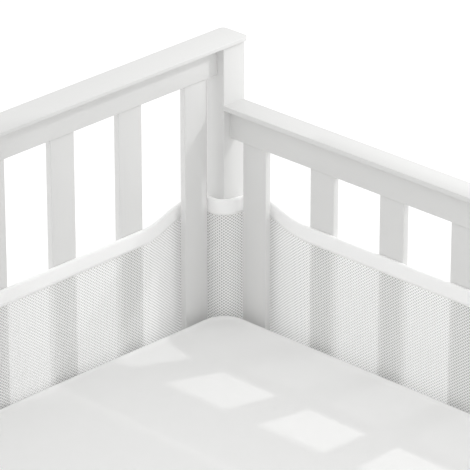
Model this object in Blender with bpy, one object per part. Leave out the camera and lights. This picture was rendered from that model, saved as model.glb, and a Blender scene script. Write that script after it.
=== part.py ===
"""A crib bumper of see-through net with a plain top binding, threaded round the corners of the slatted
crib that it belongs to, with the crib and its mattress built plain.

The origin is on the floor under the middle of the crib. X runs along the crib's length, Y across its
width and Z up. The two ends of the crib are taller than its two long sides.
"""

import math
from collections import namedtuple

import bmesh
import bpy
from mathutils import Vector

GAP = 0.0003  # between pieces that touch

# Slats and the corner posts between them
SLAT_WIDTH = 0.031
SLAT_THICKNESS = 0.007
SLAT_SPACE = 0.060
SLAT_SET_BACK = 0.011  # from the posts' inner faces to the slats' inner faces
END_SLATS = 8
SIDE_SLATS = 15
END_MARGIN = 0.0125  # from a post to the first slat of an end
SIDE_MARGIN = 0.016  # from a post to the first slat of a long side
POST_WIDTH = 0.030

INNER_WIDTH = END_SLATS * SLAT_WIDTH + (END_SLATS - 1) * SLAT_SPACE + 2 * END_MARGIN
INNER_LENGTH = SIDE_SLATS * SLAT_WIDTH + (SIDE_SLATS - 1) * SLAT_SPACE + 2 * SIDE_MARGIN

# Heights above the floor
MATTRESS_TOP = 0.650
END_TOP = MATTRESS_TOP + 0.292
SIDE_TOP = MATTRESS_TOP + 0.2255
BUMPER_TOP = MATTRESS_TOP + 0.124
RAIL_BOTTOM = 0.145

# Rails and caps
RAIL_SET_BACK = 0.009
RAIL_THICKNESS = 0.011
RAIL_HEIGHT = 0.031
SLAT_TENON = 0.012  # how far a slat goes into the rails
END_APRON_HEIGHT = 0.0309
SIDE_APRON_HEIGHT = 0.0313
END_CAP_THICKNESS = 0.0042
SIDE_CAP_THICKNESS = 0.0052
END_CAP_WIDTH = 0.0364
END_CAP_OVERHANG = 0.0034  # past the posts' inner faces
END_CAP_PAST_POST = 0.003
END_CAP_CORNER = 0.006
SIDE_CAP_WIDTH = 0.028

# Mattress, and the board and bearers that carry it
MATTRESS_THICKNESS = 0.150
MATTRESS_CORNER = 0.027
MATTRESS_EDGE = 0.008
MATTRESS_END_BOW = 0.006  # how far each edge swells past the posts' inner faces at its middle
MATTRESS_SIDE_BOW = 0.002
BOARD_THICKNESS = 0.012
BOARD_MARGIN = 0.0005
BEARER_THICKNESS = 0.011
BEARER_HEIGHT = 0.035
BEARER_ON_POST = 0.028

# Bumper
BUMPER_HEIGHT = 0.272
NET_THICKNESS = 0.0015
BINDING_HEIGHT = 0.0164
BINDING_WALL = 0.001
BINDING_THICKNESS = NET_THICKNESS + 2 * GAP + 2 * BINDING_WALL
NET_BELOW_FOLD = 0.0005  # from the net's top edge to the fold of the binding
SLAT_TO_BUMPER = 0.0026  # from a slat's face to the middle of the bumper's thickness
LAP_HALF = 0.030  # the two strips lap this far each way from the middle of a long side
LAP_STEP = BINDING_THICKNESS + 0.0007  # how far inwards the right strip's ends lie
LAP_RAMP = 0.040
SIDE_LIFT = 0.0020  # the bumper sits this much higher along the long sides than along the ends
CURVE_STEPS = 2

# The bumper's route round a corner post, from the crib's end to its long side. in_x and out_y are
# measured from the post's inner edge, in_x along the crib's length towards its middle and out_y across
# its width away from the middle. lift raises the cloth. It leaves the inner face of the end's second
# slat, goes behind the first one, comes out to round the post, and goes behind the first slat of the
# long side before it returns to the slats' inner faces.
Station = namedtuple("Station", "in_x out_y lift")
RUN_IN = SLAT_SET_BACK - SLAT_TO_BUMPER
CORNER_ROUTE = [
    Station(-RUN_IN, -0.1180, 0.0),
    Station(-RUN_IN, -0.1035, 0.0),
    Station(-0.0100, -0.0920, 0.0),
    Station(-0.0145, -0.0760, 0.0),
    Station(-0.0205, -0.0600, 0.0),
    Station(-0.0256, -0.0435, 0.0),
    Station(-0.0273, -0.0325, 0.0005),
    Station(-0.0266, -0.0220, 0.0012),
    Station(-0.0232, -0.0130, 0.0018),
    Station(-0.0190, -0.0083, 0.0023),
    Station(-0.0130, -0.0074, 0.0026),
    Station(-0.0040, -0.0074, 0.0027),
    Station(0.0022, -0.0042, 0.0027),
    Station(0.0066, 0.0020, 0.0027),
    Station(0.0084, 0.0090, 0.0026),
    Station(0.0090, 0.0165, 0.0023),
    Station(0.0120, 0.0232, 0.0021),
    Station(0.0185, 0.0274, SIDE_LIFT),
    Station(0.0280, 0.0285, SIDE_LIFT),
    Station(0.0397, 0.0268, SIDE_LIFT),
    Station(0.0500, 0.0238, SIDE_LIFT),
    Station(0.0600, 0.0200, SIDE_LIFT),
    Station(0.0702, 0.0161, SIDE_LIFT),
    Station(0.0840, 0.0120, SIDE_LIFT),
    Station(0.0970, 0.0094, SIDE_LIFT),
    Station(0.1080, RUN_IN, SIDE_LIFT),
    Station(0.1250, RUN_IN, SIDE_LIFT),
]

Finish = namedtuple("Finish", "name colour roughness")
WHITE_PAINT = Finish("white_paint", (0.82, 0.82, 0.81), 0.38)
BUMPER_NET = Finish("bumper_net", (0.72, 0.73, 0.71), 0.85)
BINDING_CLOTH = Finish("binding_cloth", (0.84, 0.84, 0.83), 0.80)
MATTRESS_COVER = Finish("mattress_cover", (0.85, 0.85, 0.84), 0.85)


def material(finish):
    made = bpy.data.materials.get(finish.name)
    if made is None:
        made = bpy.data.materials.new(finish.name)
        made.use_nodes = True
        shader = made.node_tree.nodes["Principled BSDF"]
        shader.inputs["Base Color"].default_value = (*finish.colour, 1.0)
        shader.inputs["Roughness"].default_value = finish.roughness
        shader.inputs["Metallic"].default_value = 0.0
    return made


def add_object(name, bm, finish, helper=False):
    """Turns a bmesh into a named object. A helper is left out of the model."""
    bmesh.ops.recalc_face_normals(bm, faces=bm.faces)
    mesh = bpy.data.meshes.new(name)
    bm.to_mesh(mesh)
    bm.free()
    mesh.materials.append(material(finish))
    made = bpy.data.objects.new(name, mesh)
    bpy.context.scene.collection.objects.link(made)
    if helper:
        made.hide_render = True
        made.display_type = "WIRE"
    return made


def add_box(bm, low, high):
    """Adds a box between two corners and returns its vertices."""
    low, high = Vector(low), Vector(high)
    verts = bmesh.ops.create_cube(bm, size=1.0)["verts"]
    bmesh.ops.scale(bm, verts=verts, vec=high - low)
    bmesh.ops.translate(bm, verts=verts, vec=(low + high) / 2)
    return verts


def box_object(name, low, high, finish):
    bm = bmesh.new()
    add_box(bm, low, high)
    return add_object(name, bm, finish)


def slatted_panel(name, slats, margin, apron_top, apron_height, place, turn):
    """A row of slats set into an apron and a bottom rail, as one solid.

    It is modelled with its length along X and its thickness along +Y from the posts' inner faces, then
    turned about Z and placed.
    """
    length = slats * SLAT_WIDTH + (slats - 1) * SLAT_SPACE + 2 * margin
    half = length / 2 - GAP
    apron_bottom = apron_top - apron_height
    rail_outer = RAIL_SET_BACK + RAIL_THICKNESS

    apron = bmesh.new()
    add_box(apron, (-half, RAIL_SET_BACK, apron_bottom), (half, rail_outer, apron_top))
    panel = add_object(name, apron, WHITE_PAINT)

    bars = bmesh.new()
    for index in range(slats):
        left = -length / 2 + margin + index * (SLAT_WIDTH + SLAT_SPACE)
        low = (left, SLAT_SET_BACK, RAIL_BOTTOM + RAIL_HEIGHT - SLAT_TENON)
        high = (left + SLAT_WIDTH, SLAT_SET_BACK + SLAT_THICKNESS, apron_bottom + SLAT_TENON)
        add_box(bars, low, high)
    bars = add_object(name + "_slats", bars, WHITE_PAINT, helper=True)

    rail = bmesh.new()
    add_box(rail, (-half, RAIL_SET_BACK, RAIL_BOTTOM), (half, rail_outer, RAIL_BOTTOM + RAIL_HEIGHT))
    rail = add_object(name + "_rail", rail, WHITE_PAINT, helper=True)

    for piece in (bars, rail):
        joint = panel.modifiers.new(piece.name, "BOOLEAN")
        joint.operation = "UNION"
        joint.solver = "EXACT"
        joint.object = piece
    for piece in (panel, bars, rail):
        piece.location = place
        piece.rotation_euler.z = turn
    return panel


def corner_posts():
    for end, x_side in (("left", -1), ("right", 1)):
        for side, y_side in (("front", -1), ("back", 1)):
            x_faces = sorted(x_side * (INNER_LENGTH / 2 + d) for d in (0, POST_WIDTH))
            y_faces = sorted(y_side * (INNER_WIDTH / 2 + d) for d in (0, POST_WIDTH))
            low = (x_faces[0], y_faces[0], 0)
            high = (x_faces[1], y_faces[1], END_TOP - END_CAP_THICKNESS - GAP)
            box_object(f"post_{side}_{end}", low, high, WHITE_PAINT)


def end_caps():
    """A flat board over each end's apron and posts, with its corners rounded."""
    half = INNER_WIDTH / 2 + POST_WIDTH + END_CAP_PAST_POST
    for end, x_side in (("left", -1), ("right", 1)):
        inner = INNER_LENGTH / 2 - END_CAP_OVERHANG
        x_faces = sorted(x_side * (inner + d) for d in (0, END_CAP_WIDTH))
        bm = bmesh.new()
        add_box(bm, (x_faces[0], -half, END_TOP - END_CAP_THICKNESS), (x_faces[1], half, END_TOP))
        upright = [e for e in bm.edges if abs(e.verts[0].co.z - e.verts[1].co.z) > GAP]
        bmesh.ops.bevel(
            bm, geom=upright, offset=END_CAP_CORNER, segments=4, profile=0.5, affect="EDGES", material=-1
        )
        add_object(f"end_cap_{end}", bm, WHITE_PAINT)


def side_caps():
    """A flat board over each long side's apron, between the posts."""
    half = INNER_LENGTH / 2 - GAP
    for side, y_side in (("front", -1), ("back", 1)):
        y_faces = sorted(y_side * (INNER_WIDTH / 2 + d) for d in (0, SIDE_CAP_WIDTH))
        low = (-half, y_faces[0], SIDE_TOP - SIDE_CAP_THICKNESS)
        high = (half, y_faces[1], SIDE_TOP)
        box_object(f"side_cap_{side}", low, high, WHITE_PAINT)


def panels():
    end_apron_top = END_TOP - END_CAP_THICKNESS - GAP
    side_apron_top = SIDE_TOP - SIDE_CAP_THICKNESS - GAP
    for end, x_side in (("left", -1), ("right", 1)):
        place = (x_side * INNER_LENGTH / 2, 0, 0)
        turn = -x_side * math.pi / 2
        slatted_panel(
            f"end_panel_{end}", END_SLATS, END_MARGIN, end_apron_top, END_APRON_HEIGHT, place, turn
        )
    for side, y_side in (("front", -1), ("back", 1)):
        place = (0, y_side * INNER_WIDTH / 2, 0)
        turn = 0 if y_side > 0 else math.pi
        slatted_panel(
            f"side_panel_{side}", SIDE_SLATS, SIDE_MARGIN, side_apron_top, SIDE_APRON_HEIGHT, place, turn
        )


def mattress_outline():
    """One vertex loop, anticlockwise: four round corners joined by edges that swell at their middles."""
    half_x, half_y, radius = INNER_LENGTH / 2, INNER_WIDTH / 2, MATTRESS_CORNER
    corner_steps, edge_steps = 5, 8
    outline = []
    for quarter in range(4):
        x_side = 1 if quarter in (0, 3) else -1
        y_side = 1 if quarter in (0, 1) else -1
        centre = Vector((x_side * (half_x - radius), y_side * (half_y - radius)))
        for step in range(corner_steps + 1):
            angle = (quarter + step / corner_steps) * math.pi / 2
            outline.append(centre + radius * Vector((math.cos(angle), math.sin(angle))))
        start = outline[-1]
        along_x = quarter in (0, 2)
        bow = MATTRESS_SIDE_BOW if along_x else MATTRESS_END_BOW
        outward = Vector((0, y_side)) if along_x else Vector((x_side, 0))
        reach = 2 * ((half_x if along_x else half_y) - radius)
        forward = Vector((-outward.y, outward.x))
        for step in range(1, edge_steps):
            share = step / edge_steps
            swell = bow * (1 - (2 * share - 1) ** 2) ** 2
            outline.append(start + forward * reach * share + outward * swell)
    return outline


def mattress():
    bm = bmesh.new()
    bottom = MATTRESS_TOP - MATTRESS_THICKNESS
    floor = bm.faces.new([bm.verts.new((p.x, p.y, bottom)) for p in mattress_outline()])
    grown = bmesh.ops.extrude_face_region(bm, geom=[floor])["geom"]
    top_verts = [item for item in grown if isinstance(item, bmesh.types.BMVert)]
    bmesh.ops.translate(bm, verts=top_verts, vec=(0, 0, MATTRESS_THICKNESS))
    rims = [e for e in bm.edges if abs(e.verts[0].co.z - e.verts[1].co.z) < GAP]
    bmesh.ops.bevel(
        bm, geom=rims, offset=MATTRESS_EDGE, segments=3, profile=0.5, affect="EDGES", material=-1
    )
    add_object("mattress", bm, MATTRESS_COVER)


def mattress_support():
    """A board under the mattress, on two bearers that are bolted to the posts' inner faces."""
    board_top = MATTRESS_TOP - MATTRESS_THICKNESS - GAP
    board_bottom = board_top - BOARD_THICKNESS
    half_x = INNER_LENGTH / 2 - BOARD_MARGIN
    half_y = INNER_WIDTH / 2 - BOARD_MARGIN
    box_object("mattress_board", (-half_x, -half_y, board_bottom), (half_x, half_y, board_top), WHITE_PAINT)

    reach = INNER_LENGTH / 2 + BEARER_ON_POST
    bearer_top = board_bottom - GAP
    for side, y_side in (("front", -1), ("back", 1)):
        y_faces = sorted(y_side * (INNER_WIDTH / 2 - d) for d in (GAP, GAP + BEARER_THICKNESS))
        low = (-reach, y_faces[0], bearer_top - BEARER_HEIGHT)
        box_object(f"board_bearer_{side}", low, (reach, y_faces[1], bearer_top), WHITE_PAINT)


def smoothed(points):
    """Points on a Catmull-Rom curve through all but the first and last, which only set its direction."""
    curve = []
    for before, start, end, after in zip(points, points[1:], points[2:], points[3:]):
        for step in range(CURVE_STEPS):
            t = step / CURVE_STEPS
            bend = 2 * before - 5 * start + 4 * end - after
            twist = 3 * start - before - 3 * end + after
            curve.append(start + ((end - before) * t + bend * t**2 + twist * t**3) / 2)
    curve.append(points[-2])
    return curve


def corner_points(x_side, y_side):
    """The bumper's route round one corner, from the crib's end to its long side."""
    points = []
    for station in CORNER_ROUTE:
        x = x_side * (INNER_LENGTH / 2 - station.in_x)
        y = y_side * (INNER_WIDTH / 2 + station.out_y)
        points.append(Vector((x, y, station.lift)))
    return smoothed(points)


def strip_route(x_side):
    """One strip's route: round one end of the crib and half-way along both long sides.

    The right strip's ends are stepped inwards, so that they lie on the left strip's ends.
    """
    step_in = LAP_STEP if x_side > 0 else 0
    halves = []
    for y_side in (-1, 1):
        y_run = y_side * (INNER_WIDTH / 2 + RUN_IN)
        y_lap = y_run - y_side * step_in
        half = corner_points(x_side, y_side)
        if step_in:
            half.append(Vector((LAP_HALF + LAP_RAMP, y_run, SIDE_LIFT)))
            half.append(Vector((LAP_HALF + LAP_RAMP / 3, y_lap, SIDE_LIFT)))
        half.append(Vector((-x_side * LAP_HALF, y_lap, SIDE_LIFT)))
        halves.append(half)
    return halves[0][::-1] + halves[1]


def swept(name, route, profile, finish):
    """A closed solid with the profile (across, up) carried along a route.

    A straight bar is made with one step for each point of the route, and each of its rings is then
    moved to its own point and turned to face along the route.
    """
    bm = bmesh.new()
    tip = bm.faces.new([bm.verts.new((0, across, up)) for across, up in profile])
    for _ in range(len(route) - 1):
        grown = bmesh.ops.extrude_face_region(bm, geom=[tip, *tip.edges])["geom"]
        tip = next(item for item in grown if isinstance(item, bmesh.types.BMFace))
        bmesh.ops.translate(bm, verts=tip.verts, vec=(1, 0, 0))

    headings = [(b - a).xy.normalized() for a, b in zip(route, route[1:])]
    for vert in bm.verts:
        index = round(vert.co.x)
        before = headings[max(index - 1, 0)]
        after = headings[min(index, len(headings) - 1)]
        heading = (before + after).normalized()
        mitre = 1 / heading.dot(after)
        sideways = Vector((-heading.y, heading.x)) * vert.co.y * mitre
        spot = route[index]
        vert.co = (spot.x + sideways.x, spot.y + sideways.y, vert.co.z + spot.z)
    return add_object(name, bm, finish)


def bumper():
    """Two strips of net, each with a binding folded over its top edge."""
    net_half = NET_THICKNESS / 2
    slot_half = net_half + GAP
    out_half = BINDING_THICKNESS / 2
    fold = BUMPER_TOP - BINDING_WALL
    net_profile = [
        (-net_half, BUMPER_TOP - BUMPER_HEIGHT),
        (net_half, BUMPER_TOP - BUMPER_HEIGHT),
        (net_half, fold - NET_BELOW_FOLD),
        (-net_half, fold - NET_BELOW_FOLD),
    ]
    binding_low = BUMPER_TOP - BINDING_HEIGHT
    binding_profile = [
        (-out_half, binding_low),
        (-slot_half, binding_low),
        (-slot_half, fold),
        (slot_half, fold),
        (slot_half, binding_low),
        (out_half, binding_low),
        (out_half, BUMPER_TOP),
        (-out_half, BUMPER_TOP),
    ]
    for end, x_side in (("left", -1), ("right", 1)):
        route = strip_route(x_side)
        swept(f"bumper_net_{end}", route, net_profile, BUMPER_NET)
        swept(f"bumper_binding_{end}", route, binding_profile, BINDING_CLOTH)


for leftover in list(bpy.data.objects):
    bpy.data.objects.remove(leftover, do_unlink=True)

corner_posts()
end_caps()
side_caps()
panels()
mattress_support()
mattress()
bumper()
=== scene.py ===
import math
from collections import namedtuple

import bmesh
import bpy
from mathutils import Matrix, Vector, noise


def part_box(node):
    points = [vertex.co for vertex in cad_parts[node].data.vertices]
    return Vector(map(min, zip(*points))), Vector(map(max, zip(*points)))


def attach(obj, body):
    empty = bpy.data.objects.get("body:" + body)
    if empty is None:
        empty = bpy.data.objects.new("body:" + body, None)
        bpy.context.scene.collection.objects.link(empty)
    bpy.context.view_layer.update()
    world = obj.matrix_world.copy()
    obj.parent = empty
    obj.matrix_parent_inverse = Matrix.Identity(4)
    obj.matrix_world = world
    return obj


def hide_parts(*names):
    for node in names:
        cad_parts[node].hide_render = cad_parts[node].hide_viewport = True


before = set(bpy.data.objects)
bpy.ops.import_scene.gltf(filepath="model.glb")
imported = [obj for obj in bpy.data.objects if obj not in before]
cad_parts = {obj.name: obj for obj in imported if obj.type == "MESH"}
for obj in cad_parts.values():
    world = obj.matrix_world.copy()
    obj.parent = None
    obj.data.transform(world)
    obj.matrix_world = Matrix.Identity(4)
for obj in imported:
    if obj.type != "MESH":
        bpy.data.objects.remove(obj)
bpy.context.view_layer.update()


# Camera. It stands in front of the crib at its right, above the mattress, and looks down at the inner
# edge of the back left post through a long lens.
back_post_low, back_post_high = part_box("post_back_left")
mattress_low, mattress_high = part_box("mattress")
inner_corner = Vector((back_post_high.x, back_post_low.y, mattress_high.z))

CAMERA_YAW = math.radians(43.80)
CAMERA_PITCH = math.radians(24.79)
CAMERA_DISTANCE = 3.970
CAMERA_LENS = 300.5
CAMERA_SENSOR = 36.0
VIEW_FROM_CORNER = Vector((-0.0150, 0.0317, 0.0702))

look_at = inner_corner + VIEW_FROM_CORNER
looking = Vector((
    -math.sin(CAMERA_YAW) * math.cos(CAMERA_PITCH),
    math.cos(CAMERA_YAW) * math.cos(CAMERA_PITCH),
    -math.sin(CAMERA_PITCH),
))
camera_data = bpy.data.cameras.new("camera")
camera_data.lens = CAMERA_LENS
camera_data.sensor_width = CAMERA_SENSOR
camera = bpy.data.objects.new("camera", camera_data)
camera.location = look_at - looking * CAMERA_DISTANCE
camera.rotation_euler = (math.pi / 2 - CAMERA_PITCH, 0, CAMERA_YAW)
scene = bpy.context.scene
scene.collection.objects.link(camera)
scene.camera = camera


# Light and floor. A white room gives an even fill, and one small lamp behind the back side shines through
# the slats, over the bumper and down on the mattress. A flap on the lamp keeps it off the rest of the
# mattress, beyond the back side's cap. The floor is a pale sheet.
FILL_STRENGTH = 0.945
LAMP_FROM_CORNER = Vector((0.317, 0.434, 0.640))
LAMP_POWER = 4.6
LAMP_RADIUS = 0.012
FLAP_EDGES = ((0.0, -0.955, 1.0), (1.0, -0.452, 0.0))  # the flap hides what lies in front of both
FLAP_SOFT = 0.010
SOFT_WHITE = (1.0, 1.0, 0.995, 1.0)
FLOOR_SIZE = 14.0
FLOOR_WHITE = (0.90, 0.90, 0.90)
FLOOR_DARK = (0.89, 0.89, 0.89)
FLOOR_LIGHT = (0.91, 0.91, 0.91)
FLOOR_MOTTLE = 3.0  # spots to the metre
FLOOR_GLOW = 0.25

scene.view_settings.view_transform = "Standard"
world = bpy.data.worlds.new("room")
world.use_nodes = True
world.node_tree.nodes["Background"].inputs["Color"].default_value = SOFT_WHITE
world.node_tree.nodes["Background"].inputs["Strength"].default_value = FILL_STRENGTH
scene.world = world

lamp_data = bpy.data.lights.new("lamp", "POINT")
lamp_data.energy = LAMP_POWER
lamp_data.shadow_soft_size = LAMP_RADIUS
lamp = bpy.data.objects.new("lamp", lamp_data)
lamp.location = inner_corner + LAMP_FROM_CORNER
scene.collection.objects.link(lamp)


def new_material(name, colour, roughness):
    """A material with its shader and its node tree, ready for more nodes."""
    made = bpy.data.materials.new(name)
    made.use_nodes = True
    tree = made.node_tree
    shader = tree.nodes["Principled BSDF"]
    shader.inputs["Base Color"].default_value = (*colour, 1.0)
    shader.inputs["Roughness"].default_value = roughness
    return made, tree, shader


def add_object(name, bm, *materials):
    """Turns a bmesh into a named object at the origin."""
    mesh = bpy.data.meshes.new(name)
    bm.to_mesh(mesh)
    bm.free()
    for finish in materials:
        mesh.materials.append(finish)
    made = bpy.data.objects.new(name, mesh)
    scene.collection.objects.link(made)
    return made


def add_noise(tree, coordinates, scale, detail=3.0, roughness=0.5):
    """A noise texture on the given coordinates."""
    texture = tree.nodes.new("ShaderNodeTexNoise")
    texture.inputs["Scale"].default_value = scale
    texture.inputs["Detail"].default_value = detail
    texture.inputs["Roughness"].default_value = roughness
    tree.links.new(coordinates, texture.inputs["Vector"])
    return texture.outputs["Fac"]


def add_range(tree, value, low, high, smooth=False, source=(0.0, 1.0)):
    """Carries a value from one range to another."""
    ranged = tree.nodes.new("ShaderNodeMapRange")
    ranged.interpolation_type = "SMOOTHSTEP" if smooth else "LINEAR"
    tree.links.new(value, ranged.inputs["Value"])
    for socket, number in zip(("From Min", "From Max", "To Min", "To Max"), (*source, low, high)):
        ranged.inputs[socket].default_value = number
    return ranged.outputs["Result"]


def add_colour(tree, factor, dark, light):
    """Mixes two colours by a factor."""
    mixed = tree.nodes.new("ShaderNodeMix")
    mixed.data_type = "RGBA"
    tree.links.new(factor, mixed.inputs["Factor"])
    mixed.inputs["A"].default_value = (*dark, 1.0)
    mixed.inputs["B"].default_value = (*light, 1.0)
    return mixed.outputs["Result"]


def add_bump(tree, height, distance, strength=1.0, below=None):
    """A bump, laid over another one if below is given."""
    bump = tree.nodes.new("ShaderNodeBump")
    bump.inputs["Strength"].default_value = strength
    bump.inputs["Distance"].default_value = distance
    tree.links.new(height, bump.inputs["Height"])
    if below:
        tree.links.new(below, bump.inputs["Normal"])
    return bump.outputs["Normal"]


lamp_data.use_nodes = True
tree = lamp_data.node_tree
direction = tree.nodes.new("ShaderNodeTexCoord").outputs["Normal"]
clear = tree.nodes.new("ShaderNodeMath")
clear.operation = "MAXIMUM"
for index, edge in enumerate(FLAP_EDGES):
    before_edge = tree.nodes.new("ShaderNodeVectorMath")
    before_edge.operation = "DOT_PRODUCT"
    tree.links.new(direction, before_edge.inputs[0])
    before_edge.inputs[1].default_value = edge
    passed = add_range(tree, before_edge.outputs["Value"], 1.0, 0.0, smooth=True, source=(-FLAP_SOFT, 0.0))
    tree.links.new(passed, clear.inputs[index])
tree.links.new(clear.outputs["Value"], tree.nodes["Emission"].inputs["Strength"])

floor_finish, tree, shader = new_material("floor_finish", FLOOR_WHITE, 0.9)
place = tree.nodes.new("ShaderNodeTexCoord").outputs["Object"]
mottle = add_noise(tree, place, FLOOR_MOTTLE)
tree.links.new(add_colour(tree, mottle, FLOOR_DARK, FLOOR_LIGHT), shader.inputs["Base Color"])
shader.inputs["Emission Color"].default_value = (1.0, 1.0, 1.0, 1.0)
shader.inputs["Emission Strength"].default_value = FLOOR_GLOW
bm = bmesh.new()
bmesh.ops.create_grid(bm, x_segments=4, y_segments=4, size=FLOOR_SIZE / 2)
floor = add_object("floor", bm, floor_finish)


# Posts. Four square posts of solid wood with eased edges, sprayed in white satin paint. The wood's grain
# stands very slightly through the paint, along each piece.
POST_EASE = 0.0008
EASE_STEPS = 3
SHARP_ANGLE = math.radians(50)
PAINT_WHITE = (0.78, 0.78, 0.775)
PAINT_DARK = (0.765, 0.765, 0.759)
PAINT_LIGHT = (0.795, 0.795, 0.790)
GRAIN_FINENESS = 420.0
GRAIN_STRETCH = 0.04  # its fineness along the wood, as a share of that across
GRAIN_SHARE = 0.35  # how much of the paint's tone follows the grain
GRAIN_DEPTH = 0.00012
CLOUD_FINENESS = 7.0
SPRAY_FINENESS = 900.0
SPRAY_DEPTH = 0.00004


def white_paint(grain_axis):
    """Satin paint over wood whose grain runs along the axis 0, 1 or 2."""
    made, tree, shader = new_material(f"white_paint_{'xyz'[grain_axis]}", PAINT_WHITE, 0.40)
    place = tree.nodes.new("ShaderNodeTexCoord").outputs["Object"]
    along_grain = tree.nodes.new("ShaderNodeMapping")
    stretch = [GRAIN_STRETCH if axis == grain_axis else 1.0 for axis in range(3)]
    along_grain.inputs["Scale"].default_value = stretch
    tree.links.new(place, along_grain.inputs["Vector"])
    grain = add_noise(tree, along_grain.outputs["Vector"], GRAIN_FINENESS, detail=4.0, roughness=0.6)
    cloud = add_noise(tree, place, CLOUD_FINENESS, detail=2.0)
    spray = add_noise(tree, place, SPRAY_FINENESS, detail=2.0)

    streak = add_range(tree, grain, -0.5, 0.5)
    shade = tree.nodes.new("ShaderNodeMath")
    shade.operation = "MULTIPLY_ADD"
    tree.links.new(streak, shade.inputs[0])
    shade.inputs[1].default_value = GRAIN_SHARE
    tree.links.new(cloud, shade.inputs[2])
    tone = add_colour(tree, shade.outputs["Value"], PAINT_DARK, PAINT_LIGHT)
    tree.links.new(tone, shader.inputs["Base Color"])
    tree.links.new(add_range(tree, cloud, 0.36, 0.46), shader.inputs["Roughness"])
    wood = add_bump(tree, grain, GRAIN_DEPTH, 0.35)
    sprayed = add_bump(tree, spray, SPRAY_DEPTH, 0.35, below=wood)
    tree.links.new(sprayed, shader.inputs["Normal"])
    return made


PAINT_ALONG = [white_paint(axis) for axis in range(3)]


def add_block(bm, low, high):
    """Adds a square-edged block between two corners."""
    verts = bmesh.ops.create_cube(bm, size=1.0)["verts"]
    bmesh.ops.scale(bm, verts=verts, vec=high - low)
    bmesh.ops.translate(bm, verts=verts, vec=(low + high) / 2)
    return verts


def round_off(bm, edges, radius, steps=EASE_STEPS):
    """Takes the sharpness off some edges with a small round."""
    bmesh.ops.bevel(
        bm, geom=edges, offset=radius, segments=steps, profile=0.5, affect="EDGES", material=-1
    )


def add_bar(bm, low, high, ease, finish=0):
    """Adds a bar between two corners, with all its edges eased."""
    verts = add_block(bm, low, high)
    edges = list({edge for vert in verts for edge in vert.link_edges})
    for face in {face for vert in verts for face in vert.link_faces}:
        face.material_index = finish
    round_off(bm, edges, ease)


def finish_wood(name, bm, node, *paints):
    """Turns a bmesh into a painted piece that stands for a CAD node."""
    made = add_object(name, bm, *paints)
    made.data.shade_smooth()
    made.data.set_sharp_from_angle(angle=SHARP_ANGLE)
    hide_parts(node)
    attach(made, "root")
    return made


for side in ("front", "back"):
    for end in ("left", "right"):
        node = f"post_{side}_{end}"
        bm = bmesh.new()
        add_bar(bm, *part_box(node), POST_EASE)
        finish_wood(f"painted_{node}", bm, node, PAINT_ALONG[2])


# Caps. A flat board lies over each end and both its posts, with rounded corners, and a narrower one over
# each long side between the posts. They are glued and screwed from below, and painted like the posts.
END_CAP_CORNER = 0.006
CORNER_STEPS = 8
CAP_EASE = 0.0006
CAP_TENON = 0.002  # how far a long side's cap is let into the posts

for end in ("left", "right"):
    node = f"end_cap_{end}"
    bm = bmesh.new()
    add_block(bm, *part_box(node))
    upright = [e for e in bm.edges if abs(e.verts[0].co.z - e.verts[1].co.z) > 0.001]
    round_off(bm, upright, END_CAP_CORNER, CORNER_STEPS)
    rims = [e for e in bm.edges if abs(e.verts[0].co.z - e.verts[1].co.z) < 0.001]
    round_off(bm, rims, CAP_EASE)
    finish_wood(f"painted_{node}", bm, node, PAINT_ALONG[1])

for side in ("front", "back"):
    node = f"side_cap_{side}"
    low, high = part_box(node)
    low.x -= CAP_TENON
    high.x += CAP_TENON
    bm = bmesh.new()
    add_bar(bm, low, high, CAP_EASE)
    finish_wood(f"painted_{node}", bm, node, PAINT_ALONG[0])


# Slatted panels. Each end has eight slats and each long side fifteen, glued into an apron under the cap
# and a rail near the floor. The slats' long edges are eased and the whole panel is painted white.
END_SLATS = 8
SIDE_SLATS = 15
SLAT_WIDTH = 0.031
SLAT_THICKNESS = 0.007
SLAT_SPACE = 0.060
SLAT_BEHIND_RAIL = 0.002  # from the rails' inner faces to the slats'
SLAT_TENON = 0.012
SLAT_EASE = 0.0005
RAIL_HEIGHT = 0.031
END_APRON_HEIGHT = 0.0309
SIDE_APRON_HEIGHT = 0.0313
RAIL_EASE = 0.0005
RAIL_TENON = 0.003  # how far the apron and the rail are let into the posts


def slatted_panel(node, slats, apron_height, along):
    """Builds the panel that runs along axis 0 or 1, with its slats spaced out from its middle."""
    low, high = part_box(node)
    low[along] -= RAIL_TENON
    high[along] += RAIL_TENON
    across = 1 - along
    outward = 1 if low[across] > 0 else -1
    inner_face = low[across] if outward > 0 else high[across]
    slat_faces = [inner_face + outward * (SLAT_BEHIND_RAIL + d) for d in (0, SLAT_THICKNESS)]
    bm = bmesh.new()

    apron_low, rail_high = low.copy(), high.copy()
    apron_low.z = high.z - apron_height
    rail_high.z = low.z + RAIL_HEIGHT
    add_bar(bm, apron_low, high, RAIL_EASE, finish=0)
    add_bar(bm, low, rail_high, RAIL_EASE, finish=0)

    row = slats * SLAT_WIDTH + (slats - 1) * SLAT_SPACE
    for index in range(slats):
        start = (low[along] + high[along] - row) / 2 + index * (SLAT_WIDTH + SLAT_SPACE)
        slat_low = Vector((0, 0, rail_high.z - SLAT_TENON))
        slat_high = Vector((0, 0, apron_low.z + SLAT_TENON))
        slat_low[along], slat_high[along] = start, start + SLAT_WIDTH
        slat_low[across], slat_high[across] = min(slat_faces), max(slat_faces)
        add_bar(bm, slat_low, slat_high, SLAT_EASE, finish=1)
    finish_wood(f"painted_{node}", bm, node, PAINT_ALONG[along], PAINT_ALONG[2])


for end in ("left", "right"):
    slatted_panel(f"end_panel_{end}", END_SLATS, END_APRON_HEIGHT, along=1)
for side in ("front", "back"):
    slatted_panel(f"side_panel_{side}", SIDE_SLATS, SIDE_APRON_HEIGHT, along=0)


# Mattress board and bearers. A plain painted board carries the mattress, on two bearers that are bolted
# to the inner faces of the posts.
BOARD_EASE = 0.0010

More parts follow.
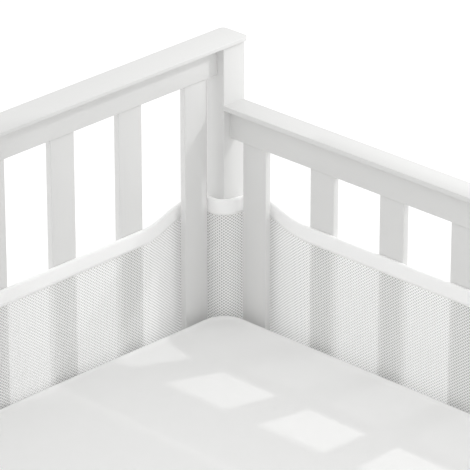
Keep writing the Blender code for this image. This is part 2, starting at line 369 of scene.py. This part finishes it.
bm = bmesh.new()
add_bar(bm, *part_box("mattress_board"), BOARD_EASE)
finish_wood("painted_mattress_board", bm, "mattress_board", PAINT_ALONG[0])
for side in ("front", "back"):
    node = f"board_bearer_{side}"
    bm = bmesh.new()
    add_bar(bm, *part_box(node), BOARD_EASE)
    finish_wood(f"painted_{node}", bm, node, PAINT_ALONG[0])


# Mattress. A firm foam block in a plain white fitted sheet of cotton, which rounds its edges. The sheet
# is pulled tight, so it shows only faint soft hollows and short creases where it turns the corners.
MATTRESS_CORNER = 0.027
MATTRESS_EDGE = 0.008
END_SWELL = 0.006  # how far each edge swells at its middle
SIDE_SWELL = 0.002
GRID_ALONG = 168
GRID_ACROSS = 96
GRID_UP = 22
EDGE_CROWDING = 1.35  # above 1, the grid's lines crowd towards the edges
HOLLOW_DEPTH = 0.0007
HOLLOWS = 5.0  # to the metre
HOLLOW_SHIFT = 0.4  # moves them inwards, so that hardly a spot rises
CREASE_DEPTH = 0.0005
CREASES_ACROSS = 70.0  # creases to the metre, side by side
CREASES_ALONG = 6.0  # how often each one changes along its run
CREASES_UP = 4.0  # and up the mattress's side
CREASE_REACH = 0.09  # from a corner, as far as its creases run
CREASE_SPREAD = 0.05  # and to each side of its diagonal
BASE_FADE = 0.02  # the height above the board over which hollows and creases begin
COTTON_WHITE = (0.90, 0.90, 0.895)
COTTON_DARK = (0.888, 0.888, 0.883)
COTTON_LIGHT = (0.912, 0.912, 0.909)
NAP_FINENESS = 60.0
NAP_DEPTH = 0.0005
THREAD_PITCH = 0.0006
THREAD_SHARE = 0.25
THREAD_DEPTH = 0.00005
SHEET_PAINTED_GLOW = 0.025  # painted light: the cotton glows a little, though it is no lamp


def new_cloth(name, colour, roughness, sheen, painted_glow):
    """A cloth's material, with the sheen of its fibres and a painted glow: light that it gives off though
    it is no lamp.
    """
    made, tree, shader = new_material(name, colour, roughness)
    sheen_weight, sheen_roughness = sheen
    shader.inputs["Sheen Weight"].default_value = sheen_weight
    shader.inputs["Sheen Roughness"].default_value = sheen_roughness
    # Painted light: the emission makes the cloth glow as if lit.
    shader.inputs["Emission Color"].default_value = SOFT_WHITE
    shader.inputs["Emission Strength"].default_value = painted_glow
    return made, tree, shader


def add_weave(tree, coordinates, pitch, shares):
    """The height of woven threads at a pitch, with a share of it for each axis."""
    threads = tree.nodes.new("ShaderNodeVectorMath")
    threads.operation = "SCALE"
    threads.inputs["Scale"].default_value = 2 * math.pi / pitch
    tree.links.new(coordinates, threads.inputs[0])
    waves = tree.nodes.new("ShaderNodeVectorMath")
    waves.operation = "SINE"
    tree.links.new(threads.outputs["Vector"], waves.inputs[0])
    weave = tree.nodes.new("ShaderNodeVectorMath")
    weave.operation = "DOT_PRODUCT"
    tree.links.new(waves.outputs["Vector"], weave.inputs[0])
    weave.inputs[1].default_value = shares
    return weave.outputs["Value"]


cotton, tree, shader = new_cloth("mattress_cotton", COTTON_WHITE, 0.88, sheen=(0.12, 0.6), painted_glow=SHEET_PAINTED_GLOW)
place = tree.nodes.new("ShaderNodeTexCoord").outputs["Object"]
nap = add_noise(tree, place, NAP_FINENESS, detail=4.0, roughness=0.65)
tree.links.new(add_colour(tree, nap, COTTON_DARK, COTTON_LIGHT), shader.inputs["Base Color"])
tree.links.new(add_range(tree, nap, 0.82, 0.94), shader.inputs["Roughness"])
weave = add_weave(tree, place, THREAD_PITCH, (THREAD_SHARE, THREAD_SHARE, THREAD_SHARE))
slubs = add_bump(tree, nap, NAP_DEPTH, 0.30)
woven = add_bump(tree, weave, THREAD_DEPTH, 0.5, below=slubs)
tree.links.new(woven, shader.inputs["Normal"])

half = Vector((-inner_corner.x, inner_corner.y))
bm = bmesh.new()
bmesh.ops.create_grid(bm, x_segments=GRID_ALONG, y_segments=GRID_ACROSS, size=1.0)
lid = list(bm.faces)
grown = bmesh.ops.extrude_face_region(bm, geom=lid, use_keep_orig=True)["geom"]
top_verts = [item for item in grown if isinstance(item, bmesh.types.BMVert)]
bmesh.ops.translate(bm, verts=top_verts, vec=(0, 0, 1))
walls = [e for e in bm.edges if abs(e.verts[0].co.z - e.verts[1].co.z) > 0.5]
bmesh.ops.subdivide_edges(bm, edges=walls, cuts=GRID_UP, use_grid_fill=True)
height = mattress_high.z - mattress_low.z


def crowded(share):
    """Moves a share between -1 and 1 towards the nearer end."""
    return math.copysign(1 - (1 - min(abs(share), 1)) ** EDGE_CROWDING, share)


for vert in bm.verts:
    side_x, side_y = math.copysign(1, vert.co.x), math.copysign(1, vert.co.y)
    flat_x, flat_y = abs(crowded(vert.co.x)) * half.x, abs(crowded(vert.co.y)) * half.y
    up = (1 + crowded(2 * vert.co.z - 1)) / 2 * height

    # The corners are rounded in plan, and the edges in section, by shares of the rounds' own squares.
    centre = Vector((min(flat_x, half.x - MATTRESS_CORNER), min(flat_y, half.y - MATTRESS_CORNER)))
    reach = Vector((flat_x, flat_y)) - centre
    ring = max(reach.x, reach.y)
    out = max(0.0, ring - (MATTRESS_CORNER - MATTRESS_EDGE))
    from_middle = max(up - (height - MATTRESS_EDGE), MATTRESS_EDGE - up, 0.0)
    if out and from_middle:
        shrink = max(out, from_middle) / math.hypot(out, from_middle)
        ring += out * (shrink - 1)
        up += math.copysign(from_middle * (shrink - 1), up - height / 2)
    spot = centre + reach.normalized() * ring if reach.length > 1e-9 else centre

    swell_x = END_SWELL * (1 - (spot.y / half.y) ** 2) ** 2 * (spot.x / half.x) ** 6
    swell_y = SIDE_SWELL * (1 - (spot.x / half.x) ** 2) ** 2 * (spot.y / half.y) ** 6
    vert.co = (side_x * (spot.x + swell_x), side_y * (spot.y + swell_y), mattress_low.z + up)

bmesh.ops.recalc_face_normals(bm, faces=bm.faces)
bm.normal_update()
moves = []
for vert in bm.verts:
    hollow = noise.noise(vert.co * HOLLOWS) - HOLLOW_SHIFT
    diagonal = abs(abs(vert.co.x) - half.x - (abs(vert.co.y) - half.y))
    from_corner = math.hypot(half.x - abs(vert.co.x), half.y - abs(vert.co.y))
    fade = math.exp(-((from_corner / CREASE_REACH) ** 2)) * math.exp(-((diagonal / CREASE_SPREAD) ** 2))
    ridges = Vector((diagonal * CREASES_ACROSS, from_corner * CREASES_ALONG, vert.co.z * CREASES_UP))
    crease = noise.noise(ridges) * fade
    base = min((vert.co.z - mattress_low.z) / BASE_FADE, 1.0)
    moves.append(vert.normal * base * (HOLLOW_DEPTH * hollow + CREASE_DEPTH * crease))
for vert, move in zip(bm.verts, moves):
    vert.co += move
mattress = add_object("mattress_in_fitted_sheet", bm, cotton)
mattress.data.shade_smooth()
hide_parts("mattress")
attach(mattress, "root")


# Bumper net. Two straight lengths of white warp-knitted mesh, see-through, with staggered rows of small
# round holes. Each goes round one end of the crib, behind the slats next to the posts, and they lap at the
# middle of the long sides. A length is cut to size and its edges are plain.
NET_HEIGHT = 0.272
NET_THICKNESS = 0.0005
NET_BELOW_TOP = 0.0015
SLAT_SET_BACK = 0.011
SLAT_TO_BUMPER = 0.0026
RUN_IN = SLAT_SET_BACK - SLAT_TO_BUMPER
LAP_HALF = 0.030
LAP_STEP = 0.0048
LAP_RAMP = 0.040
SIDE_LIFT = 0.0020  # how much higher the bumper sits along the long sides
NET_WAVE = 0.0005
WAVES_ALONG = 22.0  # to the metre
WAVES_UP = 5.0
WAVE_SEEDS = {"left": 3.0, "right": 8.0}  # so that the two strips differ
ROUTE_STEP = 0.003
NET_ROWS = 16
HOLE_COLUMNS = 0.0042  # from one column of holes to the next but one
HOLE_ROWS = 0.0032
HOLE_DIAMETER = 0.0018
HOLE_SOFT = 0.00020  # to each side of a hole's rim
YARN_COVER = 0.90  # how much the knitted yarn hides of what is behind it
HOLE_COVER = 0.70  # and the fine threads that cross each hole
NET_WHITE = (0.85, 0.85, 0.845)
YARN_SHADE = (0.92, 0.92, 0.915)
# The holes' colour is a painted shade: the dark of the knit's depth in and around each hole is painted
# into the net.
HOLE_PAINTED_SHADE = (0.56, 0.56, 0.555)
FUZZ_DARK = (0.97, 0.97, 0.97)
FUZZ_LIGHT = (1.0, 1.0, 1.0)
YARN_FINENESS = 2600.0
YARN_DEPTH = 0.0001
CORD_WIDTH = 0.0007  # of the yarn's rounding, from a hole's rim
CORD_DEPTH = 0.0003
NET_PAINTED_GLOW = 0.065  # painted light: the yarn glows, so that its shaded side is never dark

# The route round a post, from the crib's end to its long side. in_x and out_y are measured from the
# post's inner edge, in_x along the crib towards its middle and out_y across it away from its middle.
Station = namedtuple("Station", "in_x out_y lift")
CORNER_ROUTE = [
    Station(-RUN_IN, -0.1180, 0.0),
    Station(-RUN_IN, -0.1035, 0.0),
    Station(-0.0100, -0.0920, 0.0),
    Station(-0.0145, -0.0760, 0.0),
    Station(-0.0205, -0.0600, 0.0),
    Station(-0.0256, -0.0435, 0.0),
    Station(-0.0273, -0.0325, 0.0005),
    Station(-0.0266, -0.0220, 0.0012),
    Station(-0.0232, -0.0130, 0.0018),
    Station(-0.0190, -0.0083, 0.0023),
    Station(-0.0130, -0.0074, 0.0026),
    Station(-0.0040, -0.0074, 0.0027),
    Station(0.0022, -0.0042, 0.0027),
    Station(0.0066, 0.0020, 0.0027),
    Station(0.0084, 0.0090, 0.0026),
    Station(0.0090, 0.0165, 0.0023),
    Station(0.0120, 0.0232, 0.0021),
    Station(0.0185, 0.0274, SIDE_LIFT),
    Station(0.0280, 0.0285, SIDE_LIFT),
    Station(0.0397, 0.0268, SIDE_LIFT),
    Station(0.0500, 0.0238, SIDE_LIFT),
    Station(0.0600, 0.0200, SIDE_LIFT),
    Station(0.0702, 0.0161, SIDE_LIFT),
    Station(0.0840, 0.0120, SIDE_LIFT),
    Station(0.0970, 0.0094, SIDE_LIFT),
    Station(0.1080, RUN_IN, SIDE_LIFT),
    Station(0.1250, RUN_IN, SIDE_LIFT),
]
CURVE_STEPS = 6


def smoothed(points):
    """Points on a Catmull-Rom curve through all but the first and last, which only set its direction."""
    curve = []
    for before, start, end, after in zip(points, points[1:], points[2:], points[3:]):
        for step in range(CURVE_STEPS):
            t = step / CURVE_STEPS
            bend = 2 * before - 5 * start + 4 * end - after
            twist = 3 * start - before - 3 * end + after
            curve.append(start + ((end - before) * t + bend * t**2 + twist * t**3) / 2)
    curve.append(points[-2])
    return curve


def strip_route(x_side):
    """One strip's route, round one end and half-way along both long sides. The right strip's ends are
    stepped inwards, so that they lie on the left strip's."""
    step_in = LAP_STEP if x_side > 0 else 0
    halves = []
    for y_side in (-1, 1):
        y_run = y_side * (half.y + RUN_IN)
        y_lap = y_run - y_side * step_in
        points = smoothed([
            Vector((x_side * (half.x - s.in_x), y_side * (half.y + s.out_y), s.lift)) for s in CORNER_ROUTE
        ])
        if step_in:
            points.append(Vector((LAP_HALF + LAP_RAMP, y_run, SIDE_LIFT)))
            points.append(Vector((LAP_HALF + LAP_RAMP / 3, y_lap, SIDE_LIFT)))
        points.append(Vector((-x_side * LAP_HALF, y_lap, SIDE_LIFT)))
        halves.append(points)
    return halves[0][::-1] + halves[1]


class Route:
    """A strip's route, read by the distance along it."""

    def __init__(self, points):
        self.points = points
        self.spans = [(b - a).length for a, b in zip(points, points[1:])]
        self.length = sum(self.spans)
        runs = [(b - a).xy.normalized() for a, b in zip(points, points[1:])]
        self.headings = [runs[0]]
        self.headings += [(a + b).normalized() for a, b in zip(runs, runs[1:])]
        self.headings.append(runs[-1])
        self.starts = [sum(self.spans[:index]) for index in range(len(self.spans))]

    def place(self, mesh):
        """Bends a flat strip onto the route: a point's x is its distance along it, y is sideways."""
        index = 0
        for vert in sorted(mesh.vertices, key=lambda v: v.co.x):
            along, sideways, up = vert.co
            while index < len(self.spans) - 1 and along > self.starts[index] + self.spans[index]:
                index += 1
            share = (along - self.starts[index]) / self.spans[index]
            spot = self.points[index].lerp(self.points[index + 1], share)
            heading = self.headings[index].lerp(self.headings[index + 1], share).normalized()
            vert.co = (spot.x - heading.y * sideways, spot.y + heading.x * sideways, up + spot.z)


ROUTES = {"left": Route(strip_route(-1)), "right": Route(strip_route(1))}

net_cloth, tree, shader = new_cloth("bumper_mesh", NET_WHITE, 0.80, sheen=(0.25, 0.5), painted_glow=NET_PAINTED_GLOW)
flat_place = tree.nodes.new("ShaderNodeUVMap")
flat_place.uv_map = "strip"
from_holes = []
for shift in (0.0, 0.5):
    moved = tree.nodes.new("ShaderNodeVectorMath")
    moved.operation = "ADD"
    moved.inputs[1].default_value = (HOLE_COLUMNS * shift, HOLE_ROWS * shift, 0)
    tree.links.new(flat_place.outputs["UV"], moved.inputs[0])
    cell = tree.nodes.new("ShaderNodeVectorMath")
    cell.operation = "WRAP"
    cell.inputs[1].default_value = (HOLE_COLUMNS / 2, HOLE_ROWS / 2, 1)
    cell.inputs[2].default_value = (-HOLE_COLUMNS / 2, -HOLE_ROWS / 2, -1)
    tree.links.new(moved.outputs["Vector"], cell.inputs[0])
    distance = tree.nodes.new("ShaderNodeVectorMath")
    distance.operation = "LENGTH"
    tree.links.new(cell.outputs["Vector"], distance.inputs[0])
    from_holes.append(distance.outputs["Value"])
nearest = tree.nodes.new("ShaderNodeMath")
nearest.operation = "MINIMUM"
tree.links.new(from_holes[0], nearest.inputs[0])
tree.links.new(from_holes[1], nearest.inputs[1])
from_hole = nearest.outputs["Value"]
rim = HOLE_DIAMETER / 2
on_yarn = add_range(tree, from_hole, 0.0, 1.0, smooth=True, source=(rim - HOLE_SOFT, rim + HOLE_SOFT))
cover = add_range(tree, on_yarn, HOLE_COVER, YARN_COVER)
outside = tree.nodes.new("ShaderNodeNewGeometry")
one_layer = tree.nodes.new("ShaderNodeMath")
one_layer.operation = "MULTIPLY"
tree.links.new(cover, one_layer.inputs[0])
tree.links.new(add_range(tree, outside.outputs["Backfacing"], 1.0, 0.0), one_layer.inputs[1])
tree.links.new(one_layer.outputs["Value"], shader.inputs["Alpha"])
yarn = add_noise(tree, flat_place.outputs["UV"], YARN_FINENESS, detail=2.0)
# Painted shade: the colour darkens from the yarn's own white to the holes' painted shade.
shade = add_colour(tree, on_yarn, HOLE_PAINTED_SHADE, YARN_SHADE)
fuzz = tree.nodes.new("ShaderNodeMix")
fuzz.data_type = "RGBA"
fuzz.blend_type = "MULTIPLY"
fuzz.inputs["Factor"].default_value = 1.0
tree.links.new(shade, fuzz.inputs["A"])
tree.links.new(add_colour(tree, yarn, FUZZ_DARK, FUZZ_LIGHT), fuzz.inputs["B"])
tree.links.new(fuzz.outputs["Result"], shader.inputs["Base Color"])
cord = add_range(tree, from_hole, 0.0, 1.0, smooth=True, source=(rim, rim + CORD_WIDTH))
rounded = add_bump(tree, cord, CORD_DEPTH, 0.4)
knitted = add_bump(tree, yarn, YARN_DEPTH, 0.6, below=rounded)
tree.links.new(knitted, shader.inputs["Normal"])

bumper_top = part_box("bumper_binding_left")[1].z - max(station.lift for station in CORNER_ROUTE)
net_high = bumper_top - NET_BELOW_TOP
net_low = bumper_top - NET_HEIGHT

for end, route in ROUTES.items():
    bm = bmesh.new()
    steps = round(route.length / ROUTE_STEP)
    bmesh.ops.create_grid(bm, x_segments=steps, y_segments=NET_ROWS, size=1.0)
    strip_map = bm.loops.layers.uv.new("strip")
    for vert in bm.verts:
        along = (vert.co.x + 1) / 2 * route.length
        up = net_low + (vert.co.y + 1) / 2 * (net_high - net_low)
        slack = 1 - abs(vert.co.y) ** 4
        swing = noise.noise(Vector((along * WAVES_ALONG, up * WAVES_UP, WAVE_SEEDS[end])))
        vert.co = (along, NET_WAVE * slack * swing, up)
    for face in bm.faces:
        for loop in face.loops:
            loop[strip_map].uv = (loop.vert.co.x, loop.vert.co.z)
    net = add_object(f"net_strip_{end}", bm, net_cloth)
    route.place(net.data)
    net.data.shade_smooth()
    shell = net.modifiers.new("thickness", "SOLIDIFY")
    shell.thickness = NET_THICKNESS
    shell.offset = 0.0
    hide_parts(f"bumper_net_{end}")
    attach(net, "root")


# Binding. A straight strip of soft white woven cloth for each net, folded over its top edge and sewn
# through with one row of small white stitches near its lower edges.
BINDING_HEIGHT = 0.0164
BINDING_WALL = 0.0010
BINDING_HALF = 0.00205  # half its thickness over the net
BINDING_STEP = 0.0025
FOLD_STEPS = 6
RIPPLE_DEPTH = 0.00012
RIPPLES_ALONG = 60.0  # to the metre
RIPPLES_ACROSS = 90.0
TAPE_WHITE = (0.94, 0.94, 0.935)
TAPE_DARK = (0.925, 0.925, 0.92)
TAPE_LIGHT = (0.955, 0.955, 0.952)
RIB_PITCH = 0.0007
RIB_SHARE = 0.25
RIB_DEPTH = 0.00008
FIBRE_FINENESS = 1400.0
FIBRE_DEPTH = 0.0002
STITCH_ABOVE_EDGE = 0.0024
STITCH_PITCH = 0.0026
STITCH_LENGTH = 0.0019
STITCH_RADIUS = 0.00022
STITCH_WHITE = (0.86, 0.86, 0.855)
STITCH_DARK = (0.84, 0.84, 0.835)
STITCH_LIGHT = (0.88, 0.88, 0.876)
TWIST_FINENESS = 5000.0
TWIST_DEPTH = 0.00005
BINDING_PAINTED_GLOW = 0.105  # painted light: the binding glows, in place of light coming through the thin cloth

binding_cloth, tree, shader = new_cloth(
    "binding_tape", TAPE_WHITE, 0.80, sheen=(0.25, 0.5), painted_glow=BINDING_PAINTED_GLOW
)
shader.inputs["Subsurface Weight"].default_value = 0.6
shader.inputs["Subsurface Radius"].default_value = (1.0, 1.0, 1.0)
shader.inputs["Subsurface Scale"].default_value = 0.0025
flat_place = tree.nodes.new("ShaderNodeUVMap")
flat_place.uv_map = "strip"
fibres = add_noise(tree, flat_place.outputs["UV"], FIBRE_FINENESS, detail=3.0)
tree.links.new(add_colour(tree, fibres, TAPE_DARK, TAPE_LIGHT), shader.inputs["Base Color"])
ribs = add_weave(tree, flat_place.outputs["UV"], RIB_PITCH, (RIB_SHARE, RIB_SHARE, 0.0))
soft = add_bump(tree, fibres, FIBRE_DEPTH, 0.4)
ribbed = add_bump(tree, ribs, RIB_DEPTH, 0.6, below=soft)
tree.links.new(ribbed, shader.inputs["Normal"])

thread, tree, shader = new_material("stitch_thread", STITCH_WHITE, 0.65)
place = tree.nodes.new("ShaderNodeTexCoord").outputs["Object"]
twist = add_noise(tree, place, TWIST_FINENESS, detail=1.0)
tree.links.new(add_colour(tree, twist, STITCH_DARK, STITCH_LIGHT), shader.inputs["Base Color"])
tree.links.new(add_bump(tree, twist, TWIST_DEPTH, 0.5), shader.inputs["Normal"])

wall_middle = BINDING_HALF - BINDING_WALL / 2
straight = BINDING_HEIGHT - BINDING_HALF
fold_length = math.pi * wall_middle
strip_width = 2 * straight + fold_length


def fold_section(across):
    """Where a point of the flat strip lies once it is folded over, as (sideways, height)."""
    if across < straight:
        return -wall_middle, bumper_top - BINDING_HEIGHT + across
    if across > straight + fold_length:
        return wall_middle, bumper_top - BINDING_HEIGHT + strip_width - across
    turn = (across - straight) / wall_middle
    return -wall_middle * math.cos(turn), bumper_top - BINDING_HALF + wall_middle * math.sin(turn)


# The mesh's lines along the flat strip, from one lower edge over the fold to the other.
face_stops = [0.0, 0.0024, 0.0050, 0.0085, 0.0120, straight]
fold_stops = [straight + fold_length * turn / FOLD_STEPS for turn in range(1, FOLD_STEPS)]
section_stops = face_stops + fold_stops + [strip_width - stop for stop in reversed(face_stops)]

for end, route in ROUTES.items():
    bm = bmesh.new()
    steps = round(route.length / BINDING_STEP)
    bmesh.ops.create_grid(bm, x_segments=steps, y_segments=len(section_stops) - 1, size=1.0)
    strip_map = bm.loops.layers.uv.new("strip")
    flat_spots = {}
    for vert in bm.verts:
        along = (vert.co.x + 1) / 2 * route.length
        across = section_stops[round((vert.co.y + 1) / 2 * (len(section_stops) - 1))]
        flat_spots[vert] = (along, across)
        sideways, up = fold_section(across)
        ripple = RIPPLE_DEPTH * noise.noise(Vector((along * RIPPLES_ALONG, across * RIPPLES_ACROSS, 1.0)))
        vert.co = (along, sideways + math.copysign(ripple, sideways), up)
    for face in bm.faces:
        for loop in face.loops:
            loop[strip_map].uv = flat_spots[loop.vert]
    binding = add_object(f"binding_{end}", bm, binding_cloth)
    route.place(binding.data)
    binding.data.shade_smooth()
    shell = binding.modifiers.new("thickness", "SOLIDIFY")
    shell.thickness = BINDING_WALL
    shell.offset = 0.0
    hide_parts(f"bumper_binding_{end}")
    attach(binding, "root")

    # One stitch on each face, repeated along the flat strip, then bent onto the route with it.
    bm = bmesh.new()
    for face_side in (-1, 1):
        verts = bmesh.ops.create_icosphere(bm, subdivisions=1, radius=1.0)["verts"]
        bmesh.ops.scale(bm, verts=verts, vec=(STITCH_LENGTH / 2, STITCH_RADIUS, STITCH_RADIUS))
        bmesh.ops.translate(bm, verts=verts, vec=(
            STITCH_PITCH, face_side * BINDING_HALF, bumper_top - BINDING_HEIGHT + STITCH_ABOVE_EDGE
        ))
    stitches = add_object(f"binding_stitches_{end}", bm, thread)
    row = stitches.modifiers.new("row", "ARRAY")
    row.use_relative_offset = False
    row.use_constant_offset = True
    row.constant_offset_displace = (STITCH_PITCH, 0, 0)
    row.count = int(route.length / STITCH_PITCH) - 2
    bpy.context.view_layer.update()
    graph = bpy.context.evaluated_depsgraph_get()
    sewn = bpy.data.meshes.new_from_object(stitches.evaluated_get(graph))
    stitches.modifiers.clear()
    stitches.data = sewn
    route.place(stitches.data)
    stitches.data.shade_smooth()
    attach(stitches, "root")
